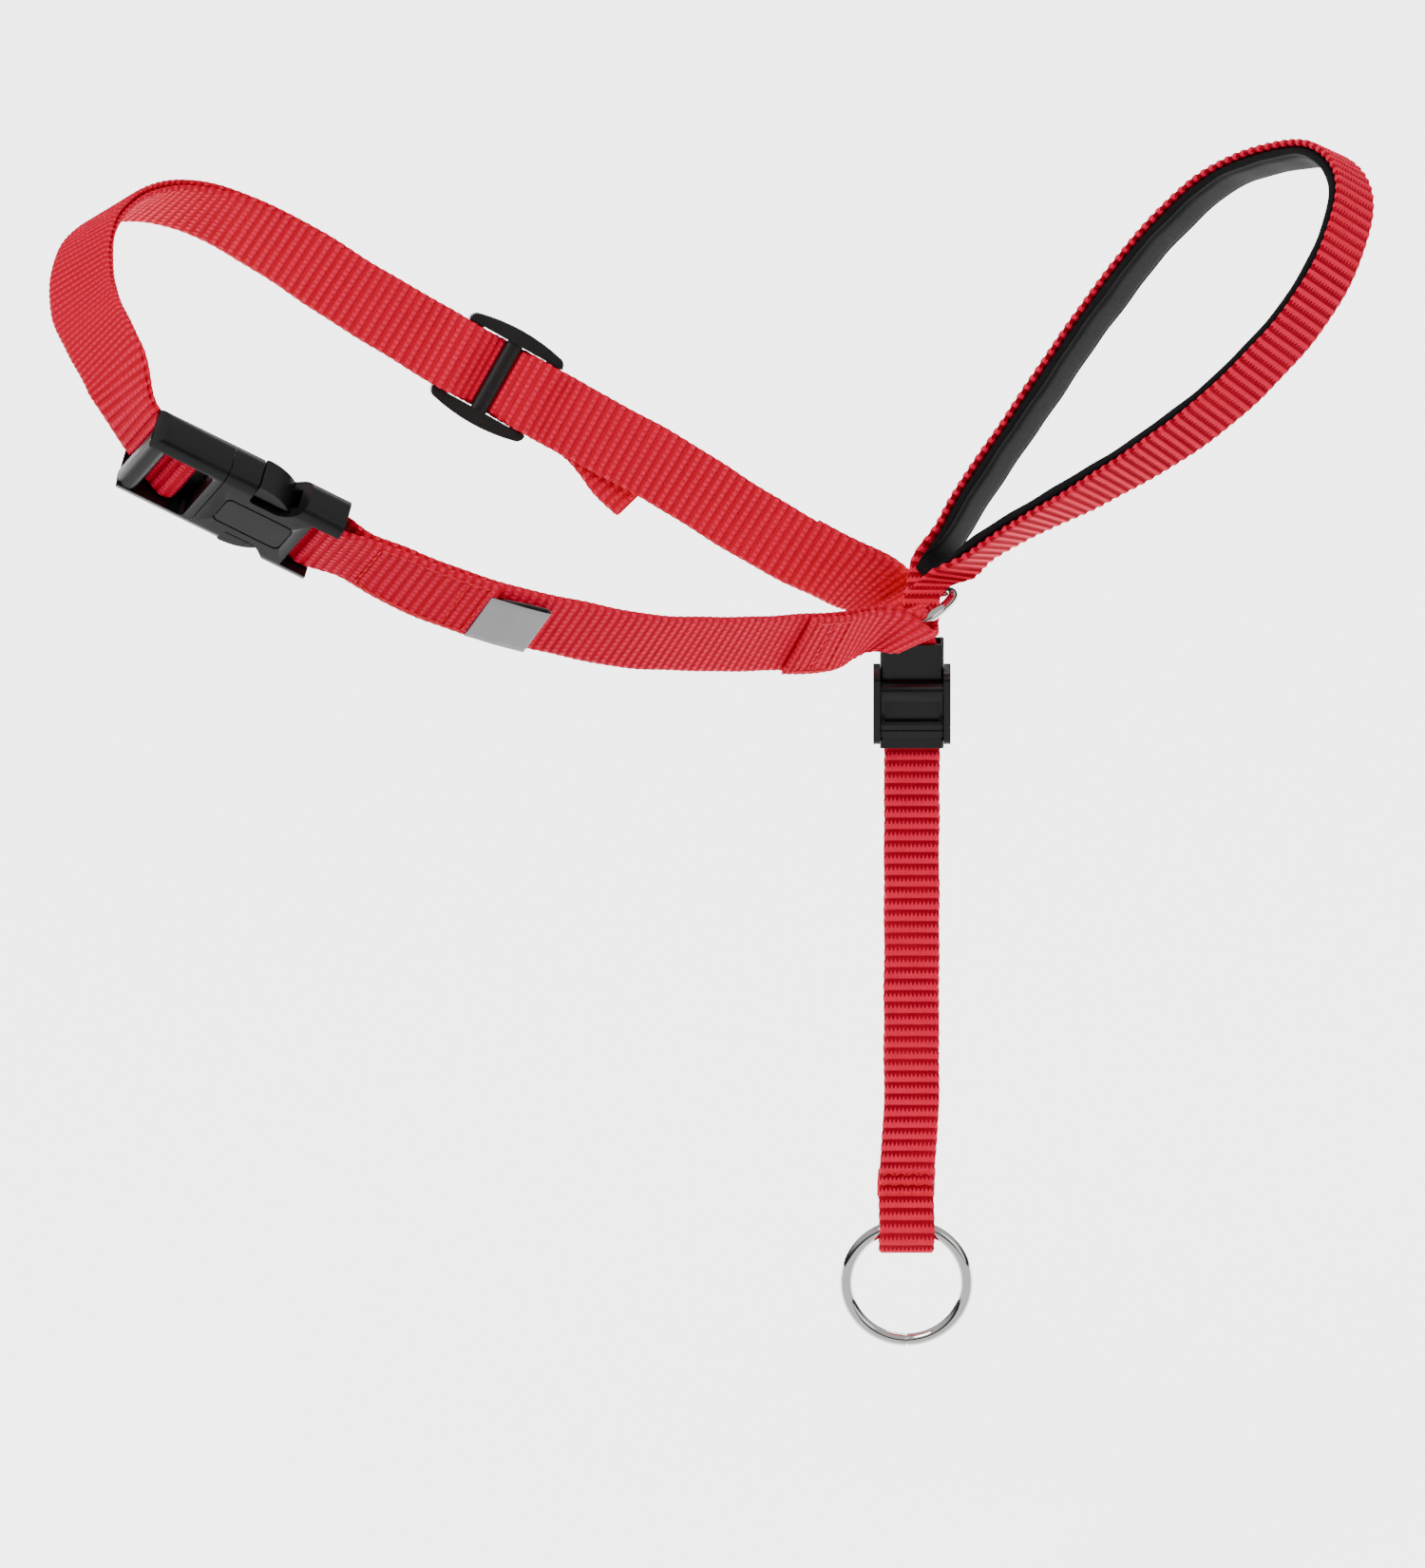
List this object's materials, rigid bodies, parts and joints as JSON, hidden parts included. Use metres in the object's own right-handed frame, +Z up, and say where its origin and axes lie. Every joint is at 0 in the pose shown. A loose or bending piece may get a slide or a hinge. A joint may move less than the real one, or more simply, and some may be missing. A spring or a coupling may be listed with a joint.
{
  "type": "dog head halter",
  "caption": "Dog head halter: adjustable neck strap with side-release buckle and slider, padded nose loop, and control strap with sliding clamp and lead ring.",
  "frame": {"origin": "centre of the neck ring, where the neck strap, the nose loop and the control strap meet", "axes": "+Z up, opposite to the way the control strap hangs; +X along the width of the control strap; -Y towards the front face of the nose clamp"},
  "size_m": [0.36, 0.1753, 0.3414],
  "materials": {
    "neck_webbing": "woven nylon, slight sheen",
    "nose_webbing": "heavily ribbed woven nylon",
    "lining": "soft black padding, matte",
    "label": "grey satin ribbon",
    "black_plastic": "moulded acetal, satin",
    "ring_steel": "nickel-plated, bright"
  },
  "bodies": {
    "halter": {"neck_strap_fixed": "neck_webbing", "neck_strap_adjustable": "neck_webbing", "buckle_female": "black_plastic", "size_label": "label", "nose_strap": "nose_webbing", "nose_lining": "lining"},
    "buckle_plug": {"buckle_male_frame": "black_plastic"},
    "arm_upper": {"buckle_arm_upper": "black_plastic"},
    "arm_lower": {"buckle_arm_lower": "black_plastic"},
    "slider": {"strap_slider": "black_plastic"},
    "ring": {"neck_ring": "ring_steel"},
    "control": {"control_strap": "nose_webbing"},
    "clamp": {"clamp_sleeve": "black_plastic"},
    "lever": {"clamp_lever": "black_plastic"},
    "lead_loop": {"lead_ring": "ring_steel"}
  },
  "joints": [
    {"name": "buckle_release", "type": "slide", "parent": "halter", "child": "buckle_plug", "axis": [-0.8733, -0.0845, 0.4797], "range_m": [0, 0.03], "deforming": ["neck_strap_adjustable", "buckle_arm_upper", "buckle_arm_lower"]},
    {"name": "arm_upper_squeeze", "type": "hinge", "parent": "buckle_plug", "child": "arm_upper", "pos_m": [-0.18631, -0.12236, 0.07912], "axis": [-0.2133, -0.8191, -0.5326], "range_deg": [0, 5], "stiffness_Nm_per_rad": 0.4},
    {"name": "arm_lower_squeeze", "type": "hinge", "parent": "buckle_plug", "child": "arm_lower", "pos_m": [-0.19279, -0.11396, 0.0688], "axis": [-0.2133, -0.8191, -0.5326], "range_deg": [-5, 0], "stiffness_Nm_per_rad": 0.4},
    {"name": "slider_adjust", "type": "slide", "parent": "halter", "child": "slider", "axis": [-0.8644, 0.009, 0.5028], "range_m": [-0.012, 0.012]},
    {"name": "neck_ring_turn", "type": "hinge", "parent": "halter", "child": "ring", "pos_m": [0, 0, 0], "axis": [-0.455, 0.026, 0.8901], "continuous": true},
    {"name": "control_strap_swing", "type": "hinge", "parent": "halter", "child": "control", "pos_m": [-0.0013, 0, -0.006], "axis": [1, 0, 0], "range_deg": [-25, 25], "deforming": ["control_strap", "neck_strap_fixed"]},
    {"name": "nose_clamp_slide", "type": "slide", "parent": "control", "child": "clamp", "axis": [0, 0, -1], "range_m": [0, 0.12]},
    {"name": "clamp_lever_flip", "type": "hinge", "parent": "clamp", "child": "lever", "pos_m": [-0.0013, -0.00505, -0.0204], "axis": [-1, 0, 0], "range_deg": [0, 95]},
    {"name": "lead_ring_swing", "type": "hinge", "parent": "control", "child": "lead_loop", "pos_m": [-0.0026, 0, -0.1765], "axis": [1, 0, 0], "range_deg": [-75, 75]}
  ],
  "couplings": [
    {"joint": "arm_lower_squeeze", "follows": "arm_upper_squeeze", "ratio": -1}
  ]
}
